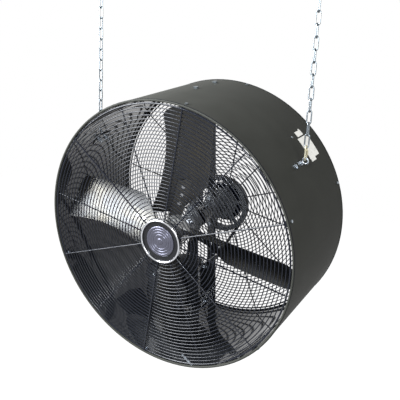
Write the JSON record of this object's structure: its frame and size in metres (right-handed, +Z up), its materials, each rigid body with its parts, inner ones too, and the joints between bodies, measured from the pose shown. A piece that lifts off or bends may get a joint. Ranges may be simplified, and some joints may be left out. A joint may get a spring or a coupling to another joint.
{
  "type": "hanging industrial fan",
  "caption": "Belt-driven drum fan hung from two chains, with wire guards front and rear, metal blades and a motor inside the drum.",
  "frame": {"origin": "on the ceiling, midway between the two ceiling plates, at their upper faces", "axes": "+Z up, -Y towards the front of the fan, +X to the right seen from the front"},
  "size_m": [0.821, 0.4774, 1.1824],
  "materials": {
    "black_paint": "fine powder coat",
    "guard_paint": "satin powder coat",
    "zinc": "bright zinc plated",
    "yellow_zinc": "yellow zinc plated",
    "chrome": "polished",
    "badge_black": "gloss",
    "badge_silver": "turned",
    "bare_plate": "satin",
    "blade_metal": "bright",
    "hub_metal": "zinc plated",
    "sheave_metal": "painted",
    "motor_cast": "gloss enamel",
    "steel": "ground",
    "cast": "painted",
    "motor_paint": "gloss enamel",
    "core": "laminated",
    "belt_rubber": "matt",
    "gland_plastic": "matt"
  },
  "bodies": {
    "ceiling": {"ceiling_plate_left": "zinc", "ceiling_plate_right": "zinc"},
    "chains": {"chain_left": "zinc", "chain_right": "zinc", "quick_links": "yellow_zinc", "quick_link_sleeves": "yellow_zinc"},
    "drum": {"drum_shell": "black_paint", "front_guard_frame": "guard_paint", "front_guard_rings": "guard_paint", "rear_guard_frame": "guard_paint", "rear_guard_rings": "guard_paint", "guard_screws": "zinc", "guard_nuts": "zinc", "badge_bezel": "chrome", "badge_dish": "badge_black", "badge_disc": "badge_silver", "badge_clamp": "zinc", "eye_bolts": "zinc", "eye_bolt_nuts": "zinc", "backing_plates": "black_paint", "frame_bolts": "zinc", "frame_nuts": "zinc", "rating_plate": "bare_plate", "serial_plate": "bare_plate", "earth_screw": "zinc", "strut_front": "black_paint", "strut_rear": "black_paint", "bearing_housing_front": "cast", "bearing_housing_rear": "cast", "bearing_outer_rings": "steel", "bearing_balls": "steel", "mounting_bolts": "zinc", "mounting_nuts": "zinc", "shaft_tube": "black_paint", "motor_mount": "black_paint", "motor_base": "motor_paint", "motor_base_bolts": "zinc", "motor_shell": "motor_paint", "motor_end_bell_front": "motor_cast", "motor_end_bell_rear": "motor_cast", "motor_stator": "core", "stator_sleeve": "motor_cast", "motor_through_bolts": "zinc", "motor_bushes": "steel", "junction_box": "motor_paint", "junction_box_lid": "motor_paint", "cord_gland": "gland_plastic", "v_belt": "belt_rubber"},
    "fan": {"fan_shaft": "steel", "fan_spider": "hub_metal", "fan_blade_1": "blade_metal", "fan_blade_2": "blade_metal", "fan_blade_3": "blade_metal", "fan_blade_4": "blade_metal", "blade_rivets": "steel", "fan_sheave": "sheave_metal", "bearing_inner_rings": "steel"},
    "motor_rotating": {"motor_shaft": "steel", "motor_rotor": "core", "motor_sheave": "cast"}
  },
  "joints": [
    {"name": "chain_swing", "type": "hinge", "parent": "ceiling", "child": "chains", "pos_m": [0, 0, -0.032], "axis": [1, 0, 0], "range_deg": [-20, 20], "stiffness_Nm_per_rad": 12, "springref_deg": 105.36},
    {"name": "drum_tilt", "type": "hinge", "parent": "chains", "child": "drum", "pos_m": [0, 0, -0.50655], "axis": [1, 0, 0], "range_deg": [-36, 24]},
    {"name": "fan_spin", "type": "hinge", "parent": "drum", "child": "fan", "pos_m": [0, -0.16003, -0.77459], "axis": [0, 0.9946, 0.1038], "continuous": true},
    {"name": "motor_spin", "type": "hinge", "parent": "drum", "child": "motor_rotating", "pos_m": [-0.1079, -0.13179, -1.04512], "axis": [0, 0.9946, 0.1038], "continuous": true}
  ],
  "couplings": [
    {"joint": "motor_spin", "follows": "fan_spin", "ratio": 2.4026}
  ]
}
